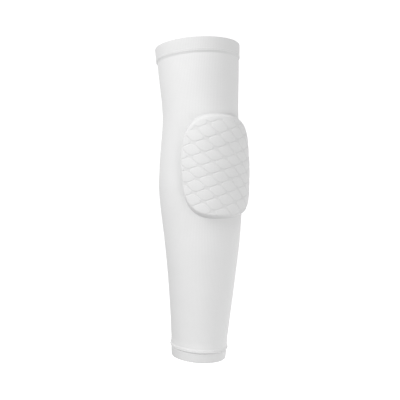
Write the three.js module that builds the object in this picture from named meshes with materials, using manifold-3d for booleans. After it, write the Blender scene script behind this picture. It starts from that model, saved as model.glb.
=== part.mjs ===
// A padded elbow sleeve as it is worn: a stretch-knit tube shaped to a slightly bent arm, a turned hem
// with a raised stitching ridge at each end, and a moulded foam pad of slanted diamond cells over the elbow.
// Millimetres. +Z runs up the arm to the shoulder, -Y looks out of the pad and +X is across the arm.
// The origin lies on the arm's axis at the elbow.
import * as THREE from "three";
import Module from "manifold-3d";

const wasm = await Module();
wasm.setup();

// Sleeve: heights along the arm's axis from the elbow
const upperRim = 134.7;
const upperSeam = 116.8; // where the upper hem's turned edge is sewn down
const lowerSeam = -204.5;
const lowerRim = -221.3;
const knitWall = 1.2; // the knit as it is stretched on the arm
const pieceGap = 0.3; // between a hem and the tube's cut edge
const around = 44; // facets round the arm
const tubeSteps = 16; // facets along the tube

// Hems: both ends are turned and sewn, which leaves a round ridge along the seam
const hemFold = 1.5; // length of the rounded fold at the rim
// rise, drop: lengths of the ridge's slopes from the tube and to the band
const upperHem = { seam: upperSeam, rim: upperRim, rise: 2, ridge: 0.9, ridgeLong: 1.8, drop: 1.1, band: 0.8 };
const lowerHem = { seam: lowerSeam, rim: lowerRim, rise: 2, ridge: 1.4, ridgeLong: 2.2, drop: 1.1, band: 0.6 };

// Elbow pad: sizes round the arm are measured over the pad, at sizedOut from the sleeve
const sizedOut = 8.8;
const padWide = 106;
const padUp = 58.3; // from its middle to the top
const padDown = 56.5; // and to the bottom
const padMiddle = -4.5; // height of the pad's middle
const padSquareness = 3.2; // exponent of its rounded-square outline
const padClear = 0.4; // from the sleeve to the pad's back
const padEdge = 1.9; // thickness at the edge
const padThick = 9.8; // thickness over the cells in the middle
const padFall = 0.5; // how much thinner the outermost cells are
const bevelShare = 0.92; // the bevelled border starts at this share of the outline
const padRings = 6; // rings of facets from the middle to the border
const padSides = 48; // facets round its outline

// Cells: two families of straight grooves cut the pad into diamonds
const cellPitch = 13.3; // from groove to groove
const cellTurn = THREE.MathUtils.degToRad(-13.4); // slant of a diamond's long diagonal
const cellHalf = THREE.MathUtils.degToRad(32.2); // from that diagonal to either groove
const crossing = new THREE.Vector2(-2.4, 12.3); // one crossing of two grooves, from the pad's middle
const grooveWide = 1.6;
const grooveDeep = 2.8;
const cellCorner = 0.16; // share of a side that its rounded corner takes
const cellChamfer = 1.1; // soft edge round a cell's top
const cellShoulder = 0.9; // its drop
const cellDome = 0.35; // rise of a cell's middle
const cellSunk = 1; // how far a cell's foot reaches into the pad's sole
const leastCell = 1.4; // a cut cell that is narrower from middle to side than this is left out
const cellReach = 8; // cells on each side of the crossing

// The stretched sleeve's outer surface, one row for each section square to the arm.
// height: along the arm's axis; back: from the axis to the section's middle;
// wide, deep: half the size across the arm and from front to back; lean: its sideways slope, low at +X.
const sections = [
  { height: -220, back: 4.8, wide: 31.6, deep: 29.4, lean: 0.055 },
  { height: -180, back: 1.4, wide: 34.4, deep: 32.6, lean: 0.03 },
  { height: -132, back: -1.9, wide: 38.8, deep: 36.8, lean: 0.01 },
  { height: -80, back: -2.9, wide: 44.0, deep: 42.6, lean: 0 },
  { height: -28, back: -0.3, wide: 48.4, deep: 46.6, lean: 0 },
  { height: 0, back: 0.6, wide: 47.2, deep: 45.4, lean: 0 },
  { height: 55, back: 0.4, wide: 43.3, deep: 43.2, lean: 0 },
  { height: 100, back: 4.1, wide: 45.6, deep: 46.0, lean: 0 },
  { height: 134, back: 7.7, wide: 47.8, deep: 48.0, lean: 0 },
];

// Slope of one column of the table at a row, from the rows beside it
function slopeAt(row, column) {
  const before = sections[Math.max(row - 1, 0)];
  const after = sections[Math.min(row + 1, sections.length - 1)];
  return (after[column] - before[column]) / (after.height - before.height);
}

// One column of the table at any height, by a cubic between two rows, and its slope there
function columnAt(height, column) {
  const inside = sections.slice(1, -1).filter((row) => row.height < height);
  const low = inside.length;
  const long = sections[low + 1].height - sections[low].height;
  const part = (height - sections[low].height) / long;
  const start = sections[low][column];
  const rise = sections[low + 1][column] - start;
  const first = slopeAt(low, column) * long;
  const last = slopeAt(low + 1, column) * long;
  const square = 3 * rise - 2 * first - last;
  const cube = first + last - 2 * rise;
  return {
    value: start + part * (first + part * (square + part * cube)),
    slope: (first + part * (2 * square + 3 * part * cube)) / long,
  };
}

// A point at an angle round the arm (0 in front, 90 degrees at +X) and out from the sleeve's surface
function armPoint(angle, height, out) {
  const back = columnAt(height, "back");
  const tilt = Math.hypot(1, back.slope);
  const across = (columnAt(height, "wide").value + out) * Math.sin(angle);
  const front = (columnAt(height, "deep").value + out) * Math.cos(angle);
  const lift = (front * back.slope) / tilt - across * columnAt(height, "lean").value;
  return new THREE.Vector3(across, back.value - front / tilt, height + lift);
}

function geometryOf(points, faces) {
  const geometry = new THREE.BufferGeometry().setFromPoints(points);
  geometry.setIndex(faces);
  geometry.computeVertexNormals();
  return geometry;
}

// A closed band round the arm from the outline of its wall, listed up the outside and down the inside
function bandGeometry(outline) {
  const points = [];
  const faces = [];
  outline.forEach(({ height, out }, row) => {
    const here = row * around;
    const next = ((row + 1) % outline.length) * around;
    for (let side = 0; side < around; side += 1) {
      const beside = (side + 1) % around;
      points.push(armPoint((side / around) * 2 * Math.PI, height, out));
      faces.push(here + side, here + beside, next + beside);
      faces.push(here + side, next + beside, next + side);
    }
  });
  return geometryOf(points, faces);
}

// Outline of the tube's wall between the two hems
function tubeOutline() {
  const low = lowerSeam + pieceGap;
  const long = upperSeam - pieceGap - low;
  const heights = Array.from({ length: tubeSteps + 1 }, (_, step) => low + (long * step) / tubeSteps);
  const outside = heights.map((height) => ({ height, out: 0 }));
  const inside = heights.map((height) => ({ height, out: -knitWall }));
  return [...outside, ...inside.reverse()];
}

// Outline of a hem's wall: the ridge on the seam, the flat band and the rounded fold at the rim
function hemOutline({ seam, rim, rise, ridge, ridgeLong, drop, band }) {
  const way = Math.sign(rim - seam);
  const long = Math.abs(rim - seam);
  const ridgeEnd = rise + ridgeLong;
  const foldMiddle = (band - knitWall) / 2;
  const at = (along, out) => ({ height: seam + way * along, out });
  const outline = [
    at(0, -knitWall),
    at(0, 0),
    at(rise, ridge),
    at(ridgeEnd, ridge),
    at(ridgeEnd + drop, band),
    at(long - hemFold, band),
    at(long - hemFold / 4, (band + foldMiddle) / 2),
    at(long, foldMiddle),
    at(long - hemFold / 4, (foldMiddle - knitWall) / 2),
    at(long - hemFold, -knitWall),
  ];
  return way > 0 ? outline : outline.reverse();
}

// A point of the pad: around and along its flat pattern, from the pad's middle, and out from the sleeve
function padPoint(flat, out) {
  const height = padMiddle + flat.y;
  const radius = (columnAt(height, "wide").value + columnAt(height, "deep").value) / 2;
  return armPoint(flat.x / (radius + sizedOut), height, out);
}

// How far out a flat point lies, to the power of the outline's exponent: 1 is on the pad's outline
function padReach(flat) {
  const wide = Math.abs(flat.x) / (padWide / 2);
  const tall = Math.abs(flat.y) / (flat.y > 0 ? padUp : padDown);
  return wide ** padSquareness + tall ** padSquareness;
}

// A flat point on the pad's outline, or on a smaller copy of it
function outlinePoint(turn, share) {
  const along = new THREE.Vector2(Math.cos(turn), Math.sin(turn));
  return along.multiplyScalar(share / padReach(along) ** (1 / padSquareness));
}

// Height of the cells' tops over the sleeve at a flat point
function crownAt(flat) {
  return padThick - padFall * padReach(flat);
}

// A closed solid on the pad's pattern from rings of flat points, the lowest first, each point with its height.
// The two ends are closed to a middle point.
function ringedSolid(rings, foot, head) {
  const sides = rings[0].length;
  const points = [padPoint(foot.flat, foot.out), padPoint(head.flat, head.out)];
  const faces = [];
  rings.forEach((ring, row) => {
    ring.forEach(({ flat, out }, side) => {
      const here = 2 + row * sides;
      const beside = (side + 1) % sides;
      points.push(padPoint(flat, out));
      if (row === 0) {
        faces.push(0, here + beside, here + side);
      }
      if (row === rings.length - 1) {
        faces.push(1, here + side, here + beside);
      } else {
        faces.push(here + side, here + beside, here + sides + beside);
        faces.push(here + side, here + sides + beside, here + sides + side);
      }
    });
  });
  const positions = Float32Array.from(points.flatMap((point) => point.toArray()));
  const mesh = { numProp: 3, vertProperties: positions, triVerts: Uint32Array.from(faces) };
  return new wasm.Manifold(new wasm.Mesh(mesh));
}

// The pad's sole: a plain back, a bevelled border and the floor that the grooves show
function padSole() {
  const middle = new THREE.Vector2(0, 0);
  const turns = Array.from({ length: padSides }, (_, side) => (side / padSides) * 2 * Math.PI);
  const shares = Array.from({ length: padRings }, (_, ring) => (bevelShare * (ring + 1)) / padRings);
  const ringAt = (share, outAt) =>
    turns.map((turn) => {
      const flat = outlinePoint(turn, share);
      return { flat, out: outAt(flat) };
    });
  const back = [...shares, 1].map((share) => ringAt(share, () => padClear));
  const edge = ringAt(1, () => padEdge);
  const floor = shares.map((share) => ringAt(share, (flat) => crownAt(flat) - grooveDeep)).reverse();
  const foot = { flat: middle, out: padClear };
  const head = { flat: middle, out: crownAt(middle) - grooveDeep };
  return ringedSolid([...back, edge, ...floor], foot, head);
}

// A diamond with cut corners round a middle point, listed counterclockwise
function diamond(middle) {
  const side = cellPitch / Math.sin(2 * cellHalf);
  const half = (side - grooveWide / Math.sin(2 * cellHalf)) / 2;
  const rising = new THREE.Vector2(Math.cos(cellTurn + cellHalf), Math.sin(cellTurn + cellHalf));
  const falling = new THREE.Vector2(Math.cos(cellTurn - cellHalf), Math.sin(cellTurn - cellHalf));
  const corner = (up, down) =>
    middle.clone().addScaledVector(rising, up * half).addScaledVector(falling, down * half);
  const inner = 1 - 2 * cellCorner;
  return [
    corner(inner, 1),
    corner(1, inner),
    corner(1, -inner),
    corner(inner, -1),
    corner(-inner, -1),
    corner(-1, -inner),
    corner(-1, inner),
    corner(-inner, 1),
  ];
}

// The part of a flat polygon on the left of the line from one point to another
function keepLeft(polygon, from, to) {
  const along = to.clone().sub(from);
  const side = (point) => along.cross(point.clone().sub(from));
  return polygon.flatMap((point, i) => {
    const next = polygon[(i + 1) % polygon.length];
    const here = side(point);
    const there = side(next);
    const kept = here >= 0 ? [point] : [];
    const crosses = here * there < 0;
    return crosses ? [...kept, point.clone().lerp(next, here / (here - there))] : kept;
  });
}

// The part of a flat polygon inside the pad's bevelled border
function insideBorder(polygon) {
  let kept = polygon;
  for (let side = 0; side < padSides && kept.length > 2; side += 1) {
    const from = outlinePoint((side / padSides) * 2 * Math.PI, bevelShare);
    const to = outlinePoint(((side + 1) / padSides) * 2 * Math.PI, bevelShare);
    kept = keepLeft(kept, from, to);
  }
  return kept;
}

// Distance from a point to the nearest side of a polygon round it
function nearestSide(polygon, point) {
  const distances = polygon.map((from, i) => {
    const along = polygon[(i + 1) % polygon.length].clone().sub(from);
    return along.cross(point.clone().sub(from)) / along.length();
  });
  return Math.min(...distances);
}

// One cell from its flat outline: upright sides, a chamfer and a low dome, or null where too little is left
function cellSolid(polygon) {
  if (polygon.length < 3) {
    return null;
  }
  const middle = new THREE.Vector2();
  polygon.forEach((point) => middle.addScaledVector(point, 1 / polygon.length));
  const room = nearestSide(polygon, middle);
  if (room < leastCell) {
    return null;
  }
  const ringAt = (inset, down) =>
    polygon.map((point) => {
      const flat = point.clone().lerp(middle, inset / room);
      return { flat, out: crownAt(flat) - down };
    });
  const rings = [ringAt(0, grooveDeep + cellSunk), ringAt(0, cellShoulder), ringAt(cellChamfer, 0)];
  const foot = { flat: middle, out: crownAt(middle) - grooveDeep - cellSunk };
  const head = { flat: middle, out: crownAt(middle) + cellDome };
  return ringedSolid(rings, foot, head);
}

// The whole pad: the sole with every cell that fits inside the border
function padGeometry() {
  const side = cellPitch / Math.sin(2 * cellHalf);
  const rising = new THREE.Vector2(side, 0).rotateAround(new THREE.Vector2(), cellTurn + cellHalf);
  const falling = new THREE.Vector2(side, 0).rotateAround(new THREE.Vector2(), cellTurn - cellHalf);
  let pad = padSole();
  for (let up = -cellReach; up < cellReach; up += 1) {
    for (let down = -cellReach; down < cellReach; down += 1) {
      const middle = crossing.clone().addScaledVector(rising, up + 0.5).addScaledVector(falling, down + 0.5);
      const cell = cellSolid(insideBorder(diamond(middle)));
      pad = cell ? pad.add(cell) : pad;
    }
  }
  const { vertProperties, triVerts } = pad.getMesh();
  const geometry = new THREE.BufferGeometry();
  geometry.setAttribute("position", new THREE.BufferAttribute(vertProperties, 3));
  geometry.setIndex(new THREE.BufferAttribute(triVerts, 1));
  geometry.computeVertexNormals();
  return geometry;
}

const knit = new THREE.MeshStandardMaterial({ color: 0xf2f2f2, roughness: 0.9, metalness: 0 });
const doubledKnit = new THREE.MeshStandardMaterial({ color: 0xf4f4f4, roughness: 0.9, metalness: 0 });
const coveredFoam = new THREE.MeshStandardMaterial({ color: 0xf5f5f5, roughness: 0.8, metalness: 0 });

const pieces = [
  { name: "sleeve_tube", geometry: bandGeometry(tubeOutline()), material: knit },
  { name: "upper_hem", geometry: bandGeometry(hemOutline(upperHem)), material: doubledKnit },
  { name: "lower_hem", geometry: bandGeometry(hemOutline(lowerHem)), material: doubledKnit },
  { name: "elbow_pad", geometry: padGeometry(), material: coveredFoam },
];

const sleeve = new THREE.Group();
for (const { name, geometry, material } of pieces) {
  const mesh = new THREE.Mesh(geometry, material);
  mesh.name = name;
  sleeve.add(mesh);
}

export default sleeve;
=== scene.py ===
# Padded elbow sleeve as it is worn: a stretch-knit tube, two turned hems and a moulded pad of diamond cells.
# Sizes in the dictionaries are millimetres; +Z runs up the arm and the pad looks along -Y.
import math

import bpy
import numpy as np
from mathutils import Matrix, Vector


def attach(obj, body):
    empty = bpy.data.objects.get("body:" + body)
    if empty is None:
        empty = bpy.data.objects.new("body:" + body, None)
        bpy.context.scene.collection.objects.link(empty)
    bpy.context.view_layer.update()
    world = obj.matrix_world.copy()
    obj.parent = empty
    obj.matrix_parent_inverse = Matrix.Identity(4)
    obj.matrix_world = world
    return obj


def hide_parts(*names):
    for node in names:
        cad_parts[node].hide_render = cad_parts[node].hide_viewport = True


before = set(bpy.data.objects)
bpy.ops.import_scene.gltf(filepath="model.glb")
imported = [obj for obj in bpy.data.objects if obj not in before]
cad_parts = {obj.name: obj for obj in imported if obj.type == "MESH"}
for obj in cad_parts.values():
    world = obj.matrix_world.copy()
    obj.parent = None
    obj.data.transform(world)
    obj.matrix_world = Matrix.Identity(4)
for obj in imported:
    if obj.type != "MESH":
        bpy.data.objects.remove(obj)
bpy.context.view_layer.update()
mm = 0.001
print("frame loaded:", ", ".join(sorted(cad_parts)))


# Camera
photoView = {
    "azimuth": -31.5,  # degrees round the arm from straight in front of the pad
    "down": 2.3,  # degrees that the camera looks down
    "distance": 804,
    "aim": (-0.73, 0.45, -40),
    "lens": 63, "sensor": 36,
}


def directionFrom(azimuth, height):  # unit vector from the sleeve towards a camera or a lamp
    turn, lift = math.radians(azimuth), math.radians(height)
    return Vector((math.sin(turn) * math.cos(lift), -math.cos(turn) * math.cos(lift), math.sin(lift)))


def placeCamera(view):
    data = bpy.data.cameras.new("photoCamera")
    data.lens, data.sensor_width = view["lens"], view["sensor"]
    camera = bpy.data.objects.new("photoCamera", data)
    away = directionFrom(view["azimuth"], view["down"])
    camera.location = (Vector(view["aim"]) + away * view["distance"]) * mm
    camera.rotation_euler = away.to_track_quat("Z", "Y").to_euler()
    bpy.context.scene.collection.objects.link(camera)
    bpy.context.scene.camera = camera


placeCamera(photoView)
bpy.context.scene.view_settings.view_transform = "Standard"
print("camera placed")


# Nodes: one call makes a node; an input is a value, an output, or a node that stands for its first output
def addNode(tree, kind, inputs=None, **settings):
    node = tree.nodes.new(kind)
    for name, value in settings.items():
        setattr(node, name, value)
    for socket, value in (inputs or {}).items():
        if isinstance(value, bpy.types.Node):
            value = value.outputs[0]
        if isinstance(value, bpy.types.NodeSocket):
            tree.links.new(value, node.inputs[socket])
        else:
            node.inputs[socket].default_value = value
    return node


def newTree(name, sizes):  # a node tree with a geometry in and out, and a named input for each size
    kinds = {float: "NodeSocketFloat", int: "NodeSocketInt", tuple: "NodeSocketVector"}
    tree = bpy.data.node_groups.new(name, "GeometryNodeTree")
    tree.interface.new_socket("Geometry", in_out="INPUT", socket_type="NodeSocketGeometry")
    tree.interface.new_socket("Geometry", in_out="OUTPUT", socket_type="NodeSocketGeometry")
    for label, size in sizes.items():
        tree.interface.new_socket(label, in_out="INPUT", socket_type=kinds[type(size)])
    return tree, addNode(tree, "NodeGroupInput").outputs


def endTree(tree, geometry, material):
    real = addNode(tree, "GeometryNodeRealizeInstances", {0: geometry})
    dressed = addNode(tree, "GeometryNodeSetMaterial", {0: real, "Material": material})
    addNode(tree, "NodeGroupOutput", {0: dressed})


def runTree(piece, tree, sizes):  # sets the inputs by identifier, then keeps the result as a plain mesh
    modifier = piece.modifiers.new(tree.name, "NODES")
    modifier.node_group = tree
    for item in tree.interface.items_tree:
        if item.in_out == "INPUT" and item.name in sizes:
            modifier[item.identifier] = sizes[item.name]
    bpy.context.view_layer.update()
    mesh = bpy.data.meshes.new_from_object(piece.evaluated_get(bpy.context.evaluated_depsgraph_get()))
    piece.modifiers.remove(modifier)
    piece.data = mesh
    mesh.name = piece.name


def hexColour(text):  # sRGB hex to the linear colour that sockets take
    channels = [int(text[i:i + 2], 16) / 255 for i in (1, 3, 5)]
    linear = [c / 12.92 if c <= 0.04045 else ((c + 0.055) / 1.055) ** 2.4 for c in channels]
    return (*linear, 1)


# Arm: the stretched sleeve's outer surface, each column with one entry for each section square to the arm
armShape = {
    "height": [-220, -180, -132, -80, -28, 0, 55, 100, 134],
    "back": [4.8, 1.4, -1.9, -2.9, -0.3, 0.6, 0.4, 4.1, 7.7],  # from the axis to the section's middle
    "wide": [31.6, 34.4, 38.8, 44.0, 48.4, 47.2, 43.3, 45.6, 47.8],  # half the size across the arm
    "deep": [29.4, 32.6, 36.8, 42.6, 46.6, 45.4, 43.2, 46.0, 48.0],  # half the size from front to back
    "lean": [0.055, 0.03, 0.01, 0, 0, 0, 0, 0, 0],  # sideways slope of the section, low at +X
}


def columnAt(height, name):  # one column at any height, by a cubic between two entries, and its slope
    heights, column = np.array(armShape["height"], float), np.array(armShape[name], float)
    ends = np.arange(len(heights))
    before, after = np.maximum(ends - 1, 0), np.minimum(ends + 1, len(heights) - 1)
    slopes = (column[after] - column[before]) / (heights[after] - heights[before])
    low = np.clip(np.searchsorted(heights, height) - 1, 0, len(heights) - 2)
    long = heights[low + 1] - heights[low]
    part = (height - heights[low]) / long
    first, last, rise = slopes[low] * long, slopes[low + 1] * long, column[low + 1] - column[low]
    square, cube = 3 * rise - 2 * first - last, first + last - 2 * rise
    value = column[low] + part * (first + part * (square + part * cube))
    return value, (first + part * (2 * square + 3 * part * cube)) / long


def armPoint(angle, height, out):  # angle 0 is in front, 90 degrees at +X; out is from the sleeve's surface
    back, slope = columnAt(height, "back")
    tilt = np.hypot(1, slope)
    across = (columnAt(height, "wide")[0] + out) * np.sin(angle)
    front = (columnAt(height, "deep")[0] + out) * np.cos(angle)
    lift = front * slope / tilt - across * columnAt(height, "lean")[0]
    return np.stack([across, back - front / tilt, height + lift], axis=-1) * mm


# Pieces: each carries a flat pattern as its UV map, which the knit follows
pattern = {
    "girth": 280,  # the same at every height, so the wales spread where the arm is wider
    "leastStep": 0.3,  # how far the pattern moves on where an outline runs straight out
}


def makePiece(name, points, faces, flat, material):  # flat holds one UV pair for each face corner
    mesh = bpy.data.meshes.new(name)
    mesh.from_pydata(points.tolist(), [], faces)
    layer = mesh.uv_layers.new(name="flatPattern")
    layer.data.foreach_set("uv", np.asarray(flat, np.float32).ravel())
    mesh.polygons.foreach_set("use_smooth", np.ones(len(mesh.polygons), bool))
    mesh.materials.append(material)
    piece = bpy.data.objects.new(name, mesh)
    bpy.context.scene.collection.objects.link(piece)
    return piece


def makeBand(name, heights, outs, around, material):  # a closed wall round the arm from its outline
    angles = np.linspace(0, 2 * np.pi, around, endpoint=False)
    angle, height = np.meshgrid(angles, heights)
    points = armPoint(angle, height, outs(angle, height) if callable(outs) else np.array(outs)[:, None])
    rows = len(heights)
    steps = np.hypot(np.diff(heights, append=heights[0]), pattern["leastStep"])
    along = np.concatenate([[0], np.cumsum(steps)])
    faces, flat = [], []
    for row in range(rows):
        here, there = row * around, (row + 1) % rows * around
        for side in range(around):
            beside = (side + 1) % around
            faces.append((here + side, here + beside, there + beside, there + side))
            left, right = side / around * pattern["girth"], (side + 1) / around * pattern["girth"]
            flat += [(left, along[row]), (right, along[row]), (right, along[row + 1]), (left, along[row + 1])]
    return makePiece(name, points.reshape(-1, 3), faces, np.array(flat) * mm, material)


# Materials: real wales are about 0.6 mm apart, and they are drawn coarser so that they show
# the valleyShade colours are painted shade between the yarns, where the knit's relief is low
sleeveCloth = {"colour": "#EDEDED", "valleyShade": "#E8E8E8", "wale": 1.7, "course": 1.4, "bump": 0.06}
hemCloth = {"colour": "#EAEAEA", "valleyShade": "#E5E5E5", "wale": 1.7, "course": 1.4, "bump": 0.06}
# the pad cover's darker colour is painted shade in its grooves and along its border
coverCloth = {"colour": "#EAEAEA", "valleyShade": "#E6E6E6", "wale": 1.5, "course": 1.5, "bump": 0.04,
              "paintedShade": "#DFDFDF"}
knitLook = {
    "slant": -0.9,  # a loop's two legs run together
    "leg": (0.02, 0.26),  # shares of a wale, from the gap beside it to the top of the yarn
    "turn": 0.3, "turnLow": 0.45,  # the yarn dips where one loop goes through the next
    "cloud": 26, "cloudRange": (0.3, 0.7), "cloudDark": 0.98,  # patches where the cloth is a little darker
    "rough": (0.95, 0.82),  # between the yarns and on them
    "sheen": 0.12, "sheenRough": 0.5,  # of the fine fibres that stand off the yarn
}
sewingThread = {"colour": "#F2F2F2", "ply": 0.5, "bump": 0.1, "rough": (0.5, 0.8)}


def jerseyKnit(name, cloth):
    # Fine polyester and elastane jersey: matt, soft white, columns of small V loops and a faint cloudiness
    material = bpy.data.materials.new(name)
    material.use_nodes = True
    tree = material.node_tree
    shader = tree.nodes["Principled BSDF"]
    shader.inputs["Sheen Weight"].default_value = knitLook["sheen"]
    shader.inputs["Sheen Roughness"].default_value = knitLook["sheenRough"]
    place = addNode(tree, "ShaderNodeUVMap", uv_map="flatPattern")
    perLoop = (1 / (cloth["wale"] * mm), 1 / (cloth["course"] * mm), 1)
    scaled = addNode(tree, "ShaderNodeMapping", {"Vector": place, "Scale": perLoop})
    split = addNode(tree, "ShaderNodeSeparateXYZ", {0: scaled})
    maths = "ShaderNodeMath"
    side = addNode(tree, maths, {0: split.outputs["X"], 1: 0.5}, operation="PINGPONG")  # 0 between wales
    slant = addNode(tree, maths, {0: side, 1: knitLook["slant"], 2: split.outputs["Y"]},
                    operation="MULTIPLY_ADD")
    loop = addNode(tree, maths, {0: slant, 1: 0.5}, operation="PINGPONG")
    leg = addNode(tree, "ShaderNodeMapRange", {
        "Value": side, "From Min": knitLook["leg"][0], "From Max": knitLook["leg"][1]},
        interpolation_type="SMOOTHSTEP")
    turn = addNode(tree, "ShaderNodeMapRange", {
        "Value": loop, "From Max": knitLook["turn"], "To Min": knitLook["turnLow"]},
        interpolation_type="SMOOTHSTEP")
    yarn = addNode(tree, maths, {0: leg, 1: turn}, operation="MULTIPLY")
    # painted shade: the knit is drawn darker between its yarns
    tint = addNode(tree, "ShaderNodeMix", {0: yarn, 6: hexColour(cloth["valleyShade"]),
                                           7: hexColour(cloth["colour"])}, data_type="RGBA")
    if "paintedShade" in cloth:  # painted shade: the cover is drawn greyer in the pad's grooves and along its border
        paintedShadeAmount = addNode(tree, "ShaderNodeAttribute", attribute_name="paintedShade")
        tint = addNode(tree, "ShaderNodeMix", {0: paintedShadeAmount.outputs["Fac"], 6: tint.outputs[2],
                                               7: hexColour(cloth["paintedShade"])}, data_type="RGBA")
    where = addNode(tree, "ShaderNodeTexCoord")
    cloud = addNode(tree, "ShaderNodeTexNoise", {
        "Vector": where.outputs["Object"], "Scale": 1 / (knitLook["cloud"] * mm), "Detail": 3.0,
        "Roughness": 0.55})
    cloudy = addNode(tree, "ShaderNodeMapRange", {
        "Value": cloud, "From Min": knitLook["cloudRange"][0], "From Max": knitLook["cloudRange"][1],
        "To Min": knitLook["cloudDark"]})
    dyed = addNode(tree, "ShaderNodeVectorMath", {0: tint.outputs[2], "Scale": cloudy}, operation="SCALE")
    rough = addNode(tree, "ShaderNodeMapRange", {
        "Value": yarn, "To Min": knitLook["rough"][0], "To Max": knitLook["rough"][1]})
    relief = addNode(tree, "ShaderNodeBump", {"Height": yarn, "Strength": 0.5,
                                              "Distance": cloth["bump"] * mm})
    tree.links.new(dyed.outputs[0], shader.inputs["Base Color"])
    tree.links.new(rough.outputs[0], shader.inputs["Roughness"])
    tree.links.new(relief.outputs[0], shader.inputs["Normal"])
    return material


def spunThread(name, thread):
    # Spun polyester sewing thread: white, slightly glossy, finely uneven where its plies twist
    material = bpy.data.materials.new(name)
    material.use_nodes = True
    tree = material.node_tree
    shader = tree.nodes["Principled BSDF"]
    shader.inputs["Base Color"].default_value = hexColour(thread["colour"])
    where = addNode(tree, "ShaderNodeTexCoord")
    ply = addNode(tree, "ShaderNodeTexNoise", {"Vector": where.outputs["Object"],
                                               "Scale": 1 / (thread["ply"] * mm)})
    rough = addNode(tree, "ShaderNodeMapRange", {
        "Value": ply, "To Min": thread["rough"][0], "To Max": thread["rough"][1]})
    relief = addNode(tree, "ShaderNodeBump", {"Height": ply, "Strength": 0.4,
                                              "Distance": thread["bump"] * mm})
    tree.links.new(rough.outputs[0], shader.inputs["Roughness"])
    tree.links.new(relief.outputs[0], shader.inputs["Normal"])
    return material


sleeveKnit = jerseyKnit("stretchJersey", sleeveCloth)
hemKnit = jerseyKnit("doubledJersey", hemCloth)  # the same knit turned over double, a little greyer
padCover = jerseyKnit("bondedInterlock", coverCloth)  # finer and flatter, bonded to the moulded foam
hemThread = spunThread("polyesterThread", sewingThread)
print("materials made")


# Elbow pad: a rounded-square sheet of foam whose cells, grooves and bevel follow one rule, by Geometry Nodes
pad = {
    "wide": 107.4, "up": 59.0, "down": 56.4, "squareness": 3.2,  # of the flat pattern
    "sizedOut": 8.8,  # the pattern is measured this far out from the sleeve
    "middle": -4.5,  # height of its middle
    "clear": 0.02,  # gap under it
    "edge": 0.3, "thick": 9.9, "fall": 0.4,  # thickness at the edge and in the middle, and its fall outwards
    "bevelFrom": 0.91, "bevelFull": 2.0,  # the border rounds over and then flares out on to the sleeve
    "edgePaintedShade": 1.0, "groovePaintedShade": 0.6,  # how much the painted shade darkens the cover on its border and in its grooves
    "grooveEnd": (0.91, 0.955), "grooveEndRise": 0.0005,  # the grooves run out here, higher up sooner
    "topFrom": 32.5, "topFall": 4.5,  # it thins towards its upper edge
    "lowFrom": 6.0, "lowEnds": -22.0, "lowFall": 1.7,  # and is a little thinner below its middle
    "steps": 260, "crowding": 0.3,  # of the mesh, whose points lie closer together towards the edge
    "backRings": (1.003, 0.98, 0.94, 0.7, 0.45, 0.2),  # shares of the outline
}
cells = {
    "pitch": 13.3, "turn": -13.4, "half": 32.2,  # slant of a diamond and half its sharp corner, in degrees
    "crossing": (-2.4, 12.3),  # where two grooves cross, on the flat pattern
    "grooveWide": 1.9, "floorWide": 0.6, "grooveDeep": 0.4,
    "cornerReach": 3.8, "cornerRound": 1.5,  # corners are cut off near a crossing: 1 straight, 2 round
    "dome": 0.2,
    "uneven": 0.25, "unevenSize": 24, "seed": 3.0,
}


def padShare(across, along):  # 0 in the pattern's middle, 1 on its outline
    across = np.abs(across) / (pad["wide"] / 2)
    along = np.abs(along) / np.where(along > 0, pad["up"], pad["down"])
    return (across ** pad["squareness"] + along ** pad["squareness"]) ** (1 / pad["squareness"])


def padOutline(turn, share):
    reach = share / padShare(np.cos(turn), np.sin(turn))
    return np.stack([reach * np.cos(turn), reach * np.sin(turn)], axis=-1)


def padRadius(height):  # where the pattern is measured round the arm
    return (columnAt(height, "wide")[0] + columnAt(height, "deep")[0]) / 2 + pad["sizedOut"]


def padPoint(flat, out):
    height = pad["middle"] + flat[..., 1]
    return armPoint(flat[..., 0] / padRadius(height), height, out)


def nearShare(wide):  # how near a groove's line its sides are at this width, 1 on the line
    return (1 - wide / 2 / cells["cornerReach"]) ** cells["cornerRound"]


def cellSizes():  # the tree's inputs: lengths in metres, then shares and directions
    lengths = {
        "Pitch": cells["pitch"], "Corner reach": cells["cornerReach"], "Groove deep": cells["grooveDeep"],
        "Dome": cells["dome"], "Uneven": cells["uneven"], "Uneven size": cells["unevenSize"],
        "Thick": pad["thick"], "Fall": pad["fall"], "Edge": pad["edge"],
        "Top from": pad["topFrom"], "Top ends": pad["up"], "Top fall": pad["topFall"],
        "Low from": pad["lowFrom"], "Low ends": pad["lowEnds"], "Low fall": pad["lowFall"]}
    turns = [math.radians(cells["turn"] + way * cells["half"]) for way in (1, -1)]
    rising, falling = [(-math.sin(turn), math.cos(turn), 0) for turn in turns]
    return {
        **{name: length * mm for name, length in lengths.items()},
        "Corner round": cells["cornerRound"],
        "Groove starts": nearShare(cells["grooveWide"]), "Groove floor": nearShare(cells["floorWide"]),
        "Groove ends from": pad["grooveEnd"][0], "Groove ends": pad["grooveEnd"][1],
        "Groove ends rise": pad["grooveEndRise"] / mm,
        "Bevel from": pad["bevelFrom"], "Bevel full": pad["bevelFull"],
        "Edge painted shade": pad["edgePaintedShade"], "Groove painted shade": pad["groovePaintedShade"], "Seed": cells["seed"],
        "Crossing": (*(place * mm for place in cells["crossing"]), 0),
        "Across rising": rising, "Across falling": falling}


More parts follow.
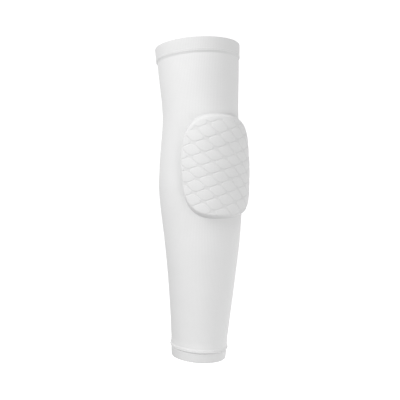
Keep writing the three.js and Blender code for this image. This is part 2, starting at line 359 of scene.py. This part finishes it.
def cellPattern(tree, given, place):  # 1 in a groove and 0 beside it, and 1 in a cell's middle and 0 round it
    maths = "ShaderNodeMath"
    shifted = addNode(tree, "ShaderNodeVectorMath", {0: place, 1: given["Crossing"]}, operation="SUBTRACT")
    halfPitch = addNode(tree, maths, {0: given["Pitch"], 1: 0.5}, operation="MULTIPLY")
    nears, rises = [], []
    for family in ("Across rising", "Across falling"):
        dot = addNode(tree, "ShaderNodeVectorMath", {0: shifted, 1: given[family]}, operation="DOT_PRODUCT")
        away = addNode(tree, maths, {0: dot.outputs["Value"], 1: halfPitch}, operation="PINGPONG")
        near = addNode(tree, "ShaderNodeMapRange", {"Value": away, "From Max": given["Corner reach"],
                                                    "To Min": 1.0, "To Max": 0.0})  # 1 on a groove
        nears.append(addNode(tree, maths, {0: near, 1: given["Corner round"]}, operation="POWER"))
        rises.append(addNode(tree, "ShaderNodeMapRange", {"Value": away, "From Max": halfPitch},
                             interpolation_type="SMOOTHSTEP"))
    both = addNode(tree, maths, {0: nears[0], 1: nears[1]}, operation="ADD")
    crease = addNode(tree, "ShaderNodeMapRange", {
        "Value": both, "From Min": given["Groove starts"], "From Max": given["Groove floor"]},
        interpolation_type="SMOOTHSTEP")
    return crease, addNode(tree, maths, {0: rises[0], 1: rises[1]}, operation="MULTIPLY")


def padCrown(tree, given, place, along, share, groove, middle):  # the pad's thickness before its bevel
    maths = "ShaderNodeMath"
    dome = addNode(tree, maths, {0: middle, 1: given["Dome"]}, operation="MULTIPLY")
    perSize = addNode(tree, maths, {0: 1.0, 1: given["Uneven size"]}, operation="DIVIDE")
    lumps = addNode(tree, "ShaderNodeTexNoise", {"Vector": place, "W": given["Seed"], "Detail": 1.0,
                                                 "Scale": perSize}, noise_dimensions="4D")
    lumpy = addNode(tree, maths, {0: lumps, 1: given["Uneven"], 2: dome}, operation="MULTIPLY_ADD")
    full = addNode(tree, maths, {0: given["Thick"], 1: lumpy}, operation="ADD")
    cut = addNode(tree, maths, {0: groove, 1: given["Groove deep"]}, operation="MULTIPLY")
    cubed = addNode(tree, maths, {0: share, 1: 3.0}, operation="POWER")
    outwards = addNode(tree, maths, {0: cubed, 1: given["Fall"], 2: cut}, operation="MULTIPLY_ADD")
    topPart = addNode(tree, "ShaderNodeMapRange", {"Value": along, "From Min": given["Top from"],
                                                   "From Max": given["Top ends"]})
    topBend = addNode(tree, maths, {0: topPart, 1: 2.0}, operation="POWER")
    upwards = addNode(tree, maths, {0: topBend, 1: given["Top fall"], 2: outwards}, operation="MULTIPLY_ADD")
    lowPart = addNode(tree, "ShaderNodeMapRange", {
        "Value": along, "From Min": given["Low from"], "From Max": given["Low ends"]},
        interpolation_type="SMOOTHSTEP")
    thinner = addNode(tree, maths, {0: lowPart, 1: given["Low fall"], 2: upwards}, operation="MULTIPLY_ADD")
    return addNode(tree, maths, {0: full, 1: thinner}, operation="SUBTRACT")


def cellTree(sizes):  # raises a flat sheet to the pad's thickness and marks where painted shade darkens its cover
    tree, given = newTree("padCells", sizes)
    maths = "ShaderNodeMath"
    share = addNode(tree, "GeometryNodeInputNamedAttribute", {"Name": "share"})
    place = addNode(tree, "GeometryNodeInputPosition")
    along = addNode(tree, "ShaderNodeSeparateXYZ", {0: place}).outputs["Y"]
    crease, middle = cellPattern(tree, given, place)
    sooner = addNode(tree, maths, {0: along, 1: given["Groove ends rise"], 2: share},
                     operation="MULTIPLY_ADD")
    runOut = addNode(tree, "ShaderNodeMapRange", {
        "Value": sooner, "From Min": given["Groove ends from"], "From Max": given["Groove ends"],
        "To Min": 1.0, "To Max": 0.0}, interpolation_type="SMOOTHSTEP")
    groove = addNode(tree, maths, {0: crease, 1: runOut}, operation="MULTIPLY")
    crown = padCrown(tree, given, place, along, share, groove, middle)
    overEdge = addNode(tree, maths, {0: crown, 1: given["Edge"]}, operation="SUBTRACT")
    border = addNode(tree, "ShaderNodeMapRange", {"Value": share, "From Min": given["Bevel from"]})
    later = addNode(tree, maths, {0: border, 1: given["Bevel full"]}, operation="POWER")
    bevel = addNode(tree, "ShaderNodeMapRange", {"Value": later, "To Min": 1.0, "To Max": 0.0},
                    interpolation_type="SMOOTHSTEP")
    height = addNode(tree, maths, {0: overEdge, 1: bevel, 2: given["Edge"]}, operation="MULTIPLY_ADD")
    up = addNode(tree, "ShaderNodeCombineXYZ", {2: height})
    # painted shade: darkest on the pad's border and in its grooves
    edgeShade = addNode(tree, "ShaderNodeMapRange", {"Value": bevel, "To Min": given["Edge painted shade"],
                                                  "To Max": 0.0})
    grooveShade = addNode(tree, maths, {0: groove, 1: given["Groove painted shade"]}, operation="MULTIPLY")
    paintedShadeAmount = addNode(tree, maths, {0: grooveShade, 1: edgeShade}, operation="MAXIMUM")
    marked = addNode(tree, "GeometryNodeStoreNamedAttribute", {0: given["Geometry"], "Name": "paintedShade",
                                                               "Value": paintedShadeAmount})
    raised = addNode(tree, "GeometryNodeSetPosition", {0: marked, "Offset": up})
    endTree(tree, raised, padCover)
    return tree


def padGrid():  # the front's flat points, their shares, its faces, and the points round its edge
    steps = pad["steps"]
    across = steps + 1
    line = np.linspace(-1, 1, across)
    column, row = (grid.ravel() for grid in np.meshgrid(line, line))
    ring = np.maximum(np.abs(column), np.abs(row))
    share = ring * (1 + pad["crowding"] * (1 - ring))
    turn = np.arctan2(row, column)
    faces = [(r * across + c, r * across + c + 1, (r + 1) * across + c + 1, (r + 1) * across + c)
             for r in range(steps) for c in range(steps)]
    side, last = np.arange(steps), steps * across
    rim = np.concatenate([side, side * across + steps, last + steps - side, last - side * across])
    return padOutline(turn, share), share, faces, rim, turn[rim]


def raiseCells(front, share, faces):  # the pad's thickness at each point, and how much painted shade darkens its cover there
    sheet = bpy.data.meshes.new("padSheet")
    sheet.from_pydata((np.pad(front, ((0, 0), (0, 1))) * mm).tolist(), [], faces)
    shares = sheet.attributes.new("share", "FLOAT", "POINT")
    shares.data.foreach_set("value", share.astype(np.float32))
    flatPiece = bpy.data.objects.new("padSheet", sheet)
    bpy.context.scene.collection.objects.link(flatPiece)
    sizes = cellSizes()
    runTree(flatPiece, cellTree(sizes), sizes)
    raised, paintedShade = np.zeros(len(front) * 3), np.zeros(len(front))
    flatPiece.data.vertices.foreach_get("co", raised)
    flatPiece.data.attributes["paintedShade"].data.foreach_get("value", paintedShade)
    bpy.data.objects.remove(flatPiece)
    return raised[2::3] / mm, paintedShade


def makePad():
    front, share, faces, rim, rimTurns = padGrid()
    out, paintedShade = raiseCells(front, share, faces)
    flats, rings = [front], [rim]
    for i, ringShare in enumerate(pad["backRings"]):  # the back: rings to the middle, flat on the sleeve
        flats.append(padOutline(rimTurns, ringShare))
        rings.append(len(front) + i * len(rim) + np.arange(len(rim)))
    flat = np.concatenate([*flats, np.zeros((1, 2))])
    added = (0, len(flat) - len(front))
    for near, far in zip(rings, rings[1:]):
        faces += zip(np.roll(near, -1), near, far, np.roll(far, -1))
    faces += [(after, here, len(flat) - 1) for here, after in zip(rings[-1], np.roll(rings[-1], -1))]
    faces = [tuple(int(corner) for corner in face) for face in faces]
    corners = np.concatenate([flat[list(face)] for face in faces]) * mm
    points = padPoint(flat, np.pad(out, added, constant_values=pad["clear"]))
    piece = makePiece("elbowPad", points, faces, corners, padCover)
    # painted shade for the cover's colour, from the grooves and the border
    marks = piece.data.attributes.new("paintedShade", "FLOAT", "POINT")
    marks.data.foreach_set("value", np.pad(paintedShade, added).astype(np.float32))
    return piece


elbowPad = makePad()
print("pad:", len(elbowPad.data.polygons), "faces")


# Sleeve tube
tube = {
    "from": -204.5, "to": 116.8,
    "wall": 1.2,
    "rows": 200, "insideRows": 60, "around": 200,
    "crisp": 0.08,  # an extra row this close to each cut end
    "seamPull": 0.15, "seamPullLong": 2.0,  # the upper hem's stitching draws the knit in a little
    "ridgeLift": 0.45, "ridgeLiftLong": 3.5,  # the knit rises on to the lower hem's ridge
    "uneven": 0.16, "unevenFrom": 14,  # soft unevenness of cloth over an arm, none at the seams
    "unevenShares": (1.04, 1.24),  # of the pad's outline: none inside the first, all of it past the second
    "crookFold": 0.55, "crookFoldLong": 5.0,  # faint cross folds in the crook of the elbow
    "crookHeights": (-26, -9, 8, 24), "crookBow": 5,  # they aren't level
    "crookShift": 0.15, "crookReach": (0.75, 0.65),  # in radians, by turns to either side
}
softWaves = {
    "round": (3, 2, 5),  # waves round the arm
    "along": (0.031, -0.052, 0.083),  # radians for each millimetre up it
    "start": (0.6, 2.1, 4.0),
    "strong": (1, 1, 0.7),
}


def tubeSurface(angle, height):
    pulled = np.exp(-((height - tube["to"]) / tube["seamPullLong"]) ** 2)
    lifted = np.exp(-((height - tube["from"]) / tube["ridgeLiftLong"]) ** 2)
    soft = np.zeros_like(height)
    for waves, along, start, strong in zip(*softWaves.values()):
        soft += strong * np.sin(waves * angle + along * height + start)
    crook = np.zeros_like(height)
    for i, middle in enumerate(tube["crookHeights"]):
        bow = middle + tube["crookBow"] * np.sin(angle * 2 + i)
        aside = np.abs(angle - np.pi) - tube["crookShift"] * (-1) ** i
        reach = np.exp(-(aside / tube["crookReach"][i % 2]) ** 2)
        crook += reach * np.exp(-((height - bow) / tube["crookFoldLong"]) ** 2)
    free = np.clip(np.minimum(height - tube["from"], tube["to"] - height) / tube["unevenFrom"], 0, 1)
    signed = np.where(angle > np.pi, angle - 2 * np.pi, angle)
    fromPad = padShare(signed * padRadius(height), height - pad["middle"])
    inner, outer = tube["unevenShares"]
    free *= np.clip((fromPad - inner) / (outer - inner), 0, 1)
    return (tube["uneven"] * free * soft / sum(softWaves["strong"]) + tube["crookFold"] * crook
            + tube["ridgeLift"] * lifted - tube["seamPull"] * pulled)


def makeTube():
    outside = np.linspace(tube["from"], tube["to"], tube["rows"] + 1)
    outside = np.sort([*outside, tube["from"] + tube["crisp"], tube["to"] - tube["crisp"]])
    inside = np.linspace(tube["to"], tube["from"], tube["insideRows"] + 1)
    heights = np.concatenate([outside, inside])
    walls = np.concatenate([np.zeros(len(outside)), np.full(len(inside), tube["wall"])])[:, None]
    return makeBand("knitTube", heights, lambda angle, height: tubeSurface(angle, height) - walls,
                    tube["around"], sleeveKnit)


knitTube = makeTube()
print("tube:", len(knitTube.data.polygons), "faces")


# Hems: outlines from the seam to the rim, along the arm and out from the sleeve
upperHem = {
    "seam": 116.8, "rim": 134.7,
    "outside": [(0, -0.15), (0.06, -0.14), (0.9, 0.15), (1.9, 0.62), (2.9, 0.85), (4.1, 0.85), (5.2, 0.7),
                (7, 0.72), (11, 0.8), (15.5, 0.85), (17.3, 0.75), (17.8, -0.2), (17.3, -1.15), (15.5, -1.2)],
    "rows": (2.6, 4.4),  # two rows of stitches along the ridge
}
lowerHem = {
    "seam": -204.5, "rim": -221.3,
    "outside": [(0, 0.45), (0.06, 0.46), (1.2, 0.85), (2.6, 1.35), (3.9, 1.4), (4.8, 1.0), (5.2, 0.1),
                (5.3, -0.3), (5.6, 0.3), (6.7, 0.55), (14.4, 0.6), (16.2, 0.5), (16.7, -0.3), (16.2, -1.1),
                (14.4, -1.2)],
    "rows": (1.8, 3.6),
}
hemMesh = {"around": 200, "roundings": 3, "insideRows": 6, "wall": 1.2}


def roundedLine(corners, passes):  # cuts each corner of an open line, again and again
    line = np.array(corners, float)
    for _ in range(passes):
        near, far = line[:-1] * 0.75 + line[1:] * 0.25, line[:-1] * 0.25 + line[1:] * 0.75
        line = np.concatenate([line[:1], np.stack([near, far], axis=1).reshape(-1, 2), line[-1:]])
    return line


def makeHem(name, hem):
    way = np.sign(hem["rim"] - hem["seam"])
    outside = roundedLine(hem["outside"], hemMesh["roundings"])
    backAlong = np.linspace(outside[-1, 0], 0, hemMesh["insideRows"] + 1)[1:]
    inside = np.stack([backAlong, np.full(len(backAlong), -hemMesh["wall"])], axis=1)
    outline = np.concatenate([outside, inside])
    outline = outline if way > 0 else outline[::-1]
    return makeBand(name, hem["seam"] + way * outline[:, 0], outline[:, 1], hemMesh["around"], hemKnit)


upperHemPiece = makeHem("upperHem", upperHem)
lowerHemPiece = makeHem("lowerHem", lowerHem)
print("hems:", len(upperHemPiece.data.polygons), "and", len(lowerHemPiece.data.polygons), "faces")


# Stitches: two rows of short needle stitches on each hem's ridge, by Geometry Nodes
stitch = {
    "pitch": 3.4, "long": 2.7, "thread": 0.45, "rise": 0.3,
    "sides": 6, "bends": 5,  # of each stitch's mesh
    "points": 360,  # round the arm, on the line that the stitches follow
}
stitchSizes = {
    "Pitch": stitch["pitch"] * mm, "Long": stitch["long"] * mm, "Thread": stitch["thread"] * mm,
    "Rise": stitch["rise"] * mm, "Sides": stitch["sides"], "Bends": stitch["bends"],
}


def stitchTree(sizes):
    tree, given = newTree("hemStitches", sizes)
    seam = addNode(tree, "GeometryNodeMeshToCurve", {0: given["Geometry"]})
    spots = addNode(tree, "GeometryNodeCurveToPoints", {"Curve": seam, "Length": given["Pitch"]},
                    mode="LENGTH")
    outward = addNode(tree, "GeometryNodeInputNamedAttribute", {"Name": "outward"}, data_type="FLOAT_VECTOR")
    turn = addNode(tree, "FunctionNodeAxesToRotation", {0: outward, 1: spots.outputs["Tangent"]},
                   primary_axis="Z", secondary_axis="X")
    half = addNode(tree, "ShaderNodeMath", {0: given["Long"], 1: 0.5}, operation="MULTIPLY")
    back = addNode(tree, "ShaderNodeMath", {0: half, 1: -1.0}, operation="MULTIPLY")
    start = addNode(tree, "ShaderNodeCombineXYZ", {0: back})
    middle = addNode(tree, "ShaderNodeCombineXYZ", {2: given["Rise"]})
    end = addNode(tree, "ShaderNodeCombineXYZ", {0: half})
    path = addNode(tree, "GeometryNodeCurveQuadraticBezier", {
        "Resolution": given["Bends"], "Start": start, "Middle": middle, "End": end})
    radius = addNode(tree, "ShaderNodeMath", {0: given["Thread"], 1: 0.5}, operation="MULTIPLY")
    ring = addNode(tree, "GeometryNodeCurvePrimitiveCircle", {"Resolution": given["Sides"],
                                                              "Radius": radius})
    thread = addNode(tree, "GeometryNodeCurveToMesh", {"Curve": path, "Profile Curve": ring,
                                                       "Fill Caps": True})
    sewn = addNode(tree, "GeometryNodeInstanceOnPoints", {
        "Points": spots.outputs["Points"], "Instance": thread, "Rotation": turn})
    smooth = addNode(tree, "GeometryNodeSetShadeSmooth", {0: sewn})
    endTree(tree, smooth, hemThread)
    return tree


def sewHem(name, hem, tree):
    way = np.sign(hem["rim"] - hem["seam"])
    outside = roundedLine(hem["outside"], hemMesh["roundings"])
    upto = np.argmax(outside[:, 0])
    angles = np.linspace(0, 2 * np.pi, stitch["points"], endpoint=False)
    points, normals, edges = [], [], []
    for row in hem["rows"]:
        out = np.interp(row, outside[:upto, 0], outside[:upto, 1])
        height = np.full(len(angles), hem["seam"] + way * row)
        here = armPoint(angles, height, out)
        away = armPoint(angles, height, out + 1) - here
        first = len(points) * len(angles)
        edges += [(first + i, first + (i + 1) % len(angles)) for i in range(len(angles))]
        points.append(here)
        normals.append(away / np.linalg.norm(away, axis=1)[:, None])
    mesh = bpy.data.meshes.new(name)
    mesh.from_pydata(np.concatenate(points).tolist(), edges, [])
    outward = mesh.attributes.new("outward", "FLOAT_VECTOR", "POINT")
    outward.data.foreach_set("vector", np.concatenate(normals).astype(np.float32).ravel())
    piece = bpy.data.objects.new(name, mesh)
    bpy.context.scene.collection.objects.link(piece)
    runTree(piece, tree, stitchSizes)
    return piece


hemStitching = stitchTree(stitchSizes)
upperStitches = sewHem("upperStitches", upperHem, hemStitching)
lowerStitches = sewHem("lowerStitches", lowerHem, hemStitching)
print("stitches:", len(upperStitches.data.polygons), "and", len(lowerStitches.data.polygons), "faces")


# Studio: a seamless pale sweep, a large key lamp at the left, and weaker ones that fill from all round
studio = {
    "floor": -470, "bendFrom": 2100, "reach": 3000,  # the floor bends up into the wall between these radii
    "wallTop": 1500, "roofEdge": (2700, 3000), "roofTop": 3300,
    "roundings": 3, "around": 64,
    "paper": "#F4F4F4", "glow": 0.7,  # a glow keeps the sweep evenly white
    "ambient": 0.42,
    "aim": -40,  # height that the lamps look at
}
lamps = {  # angles in degrees, power in watts
    "key": {"azimuth": -90, "height": 30, "distance": 1400, "size": 840, "power": 11.2},
    "top": {"azimuth": 0, "height": 60, "distance": 1400, "size": 840, "power": 3.8},
    "front": {"azimuth": 0, "height": 15, "distance": 1400, "size": 840, "power": 2.4},
    "low": {"azimuth": 0, "height": -35, "distance": 700, "size": 420, "power": 1.12},
    "side": {"azimuth": 100, "height": -35, "distance": 700, "size": 420, "power": 0.8},
    "rim": {"azimuth": 110, "height": -12, "distance": 600, "size": 360, "power": 0.65},
    "back": {"azimuth": 160, "height": 25, "distance": 1400, "size": 840, "power": 6.0},
}


def makeSweep():
    low, reach = studio["floor"], studio["reach"]
    outline = roundedLine([(0, low), (studio["bendFrom"], low), (reach, low), (reach, studio["wallTop"]),
                           studio["roofEdge"], (0, studio["roofTop"])], studio["roundings"])
    around = studio["around"]
    turns = np.linspace(0, 2 * np.pi, around, endpoint=False)
    points = np.stack([np.outer(outline[:, 0], np.cos(turns)), np.outer(outline[:, 0], np.sin(turns)),
                       np.repeat(outline[:, 1:], around, axis=1)], axis=-1)
    faces = [(r * around + s, r * around + (s + 1) % around, (r + 1) * around + (s + 1) % around,
              (r + 1) * around + s) for r in range(len(outline) - 1) for s in range(around)]
    material = bpy.data.materials.new("whiteSweepPaper")  # matt background paper that shows no edge
    material.use_nodes = True
    shader = material.node_tree.nodes["Principled BSDF"]
    shader.inputs["Base Color"].default_value = hexColour(studio["paper"])
    shader.inputs["Roughness"].default_value = 0.95
    shader.inputs["Specular IOR Level"].default_value = 0.1
    shader.inputs["Emission Color"].default_value = hexColour("#FFFFFF")
    shader.inputs["Emission Strength"].default_value = studio["glow"]
    flat = np.zeros((4 * len(faces), 2))
    sweep = makePiece("studioSweep", points.reshape(-1, 3) * mm, faces, flat, material)
    sweep.visible_diffuse = sweep.visible_glossy = sweep.visible_shadow = False  # only the camera sees it
    sweep.visible_transmission = sweep.visible_volume_scatter = False


def addLamp(name, lamp):
    data = bpy.data.lights.new(name, "AREA")
    data.shape, data.size, data.energy = "DISK", lamp["size"] * mm, lamp["power"]
    lampObject = bpy.data.objects.new(name, data)
    away = directionFrom(lamp["azimuth"], lamp["height"])
    lampObject.location = (away * lamp["distance"] + Vector((0, 0, studio["aim"]))) * mm
    lampObject.rotation_euler = away.to_track_quat("Z", "Y").to_euler()
    lampObject.visible_camera = False
    bpy.context.scene.collection.objects.link(lampObject)


makeSweep()
for name, lamp in lamps.items():
    addLamp(name + "Lamp", lamp)
world = bpy.data.worlds.new("studioLight")
world.use_nodes = True
world.node_tree.nodes["Background"].inputs["Color"].default_value = hexColour("#FFFFFF")
world.node_tree.nodes["Background"].inputs["Strength"].default_value = studio["ambient"]
bpy.context.scene.world = world
print("studio lit")


# The frame: what each piece rides on and which frame part it stands in for
for piece, node, slotName in ((knitTube, "sleeve_tube", "knit"), (upperHemPiece, "upper_hem", "hem_knit"),
                              (lowerHemPiece, "lower_hem", "hem_knit"), (elbowPad, "elbow_pad", "pad_cover")):
    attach(piece, "root")
    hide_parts(node)
for piece in (upperStitches, lowerStitches):
    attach(piece, "root")
print("pieces joined to the frame")
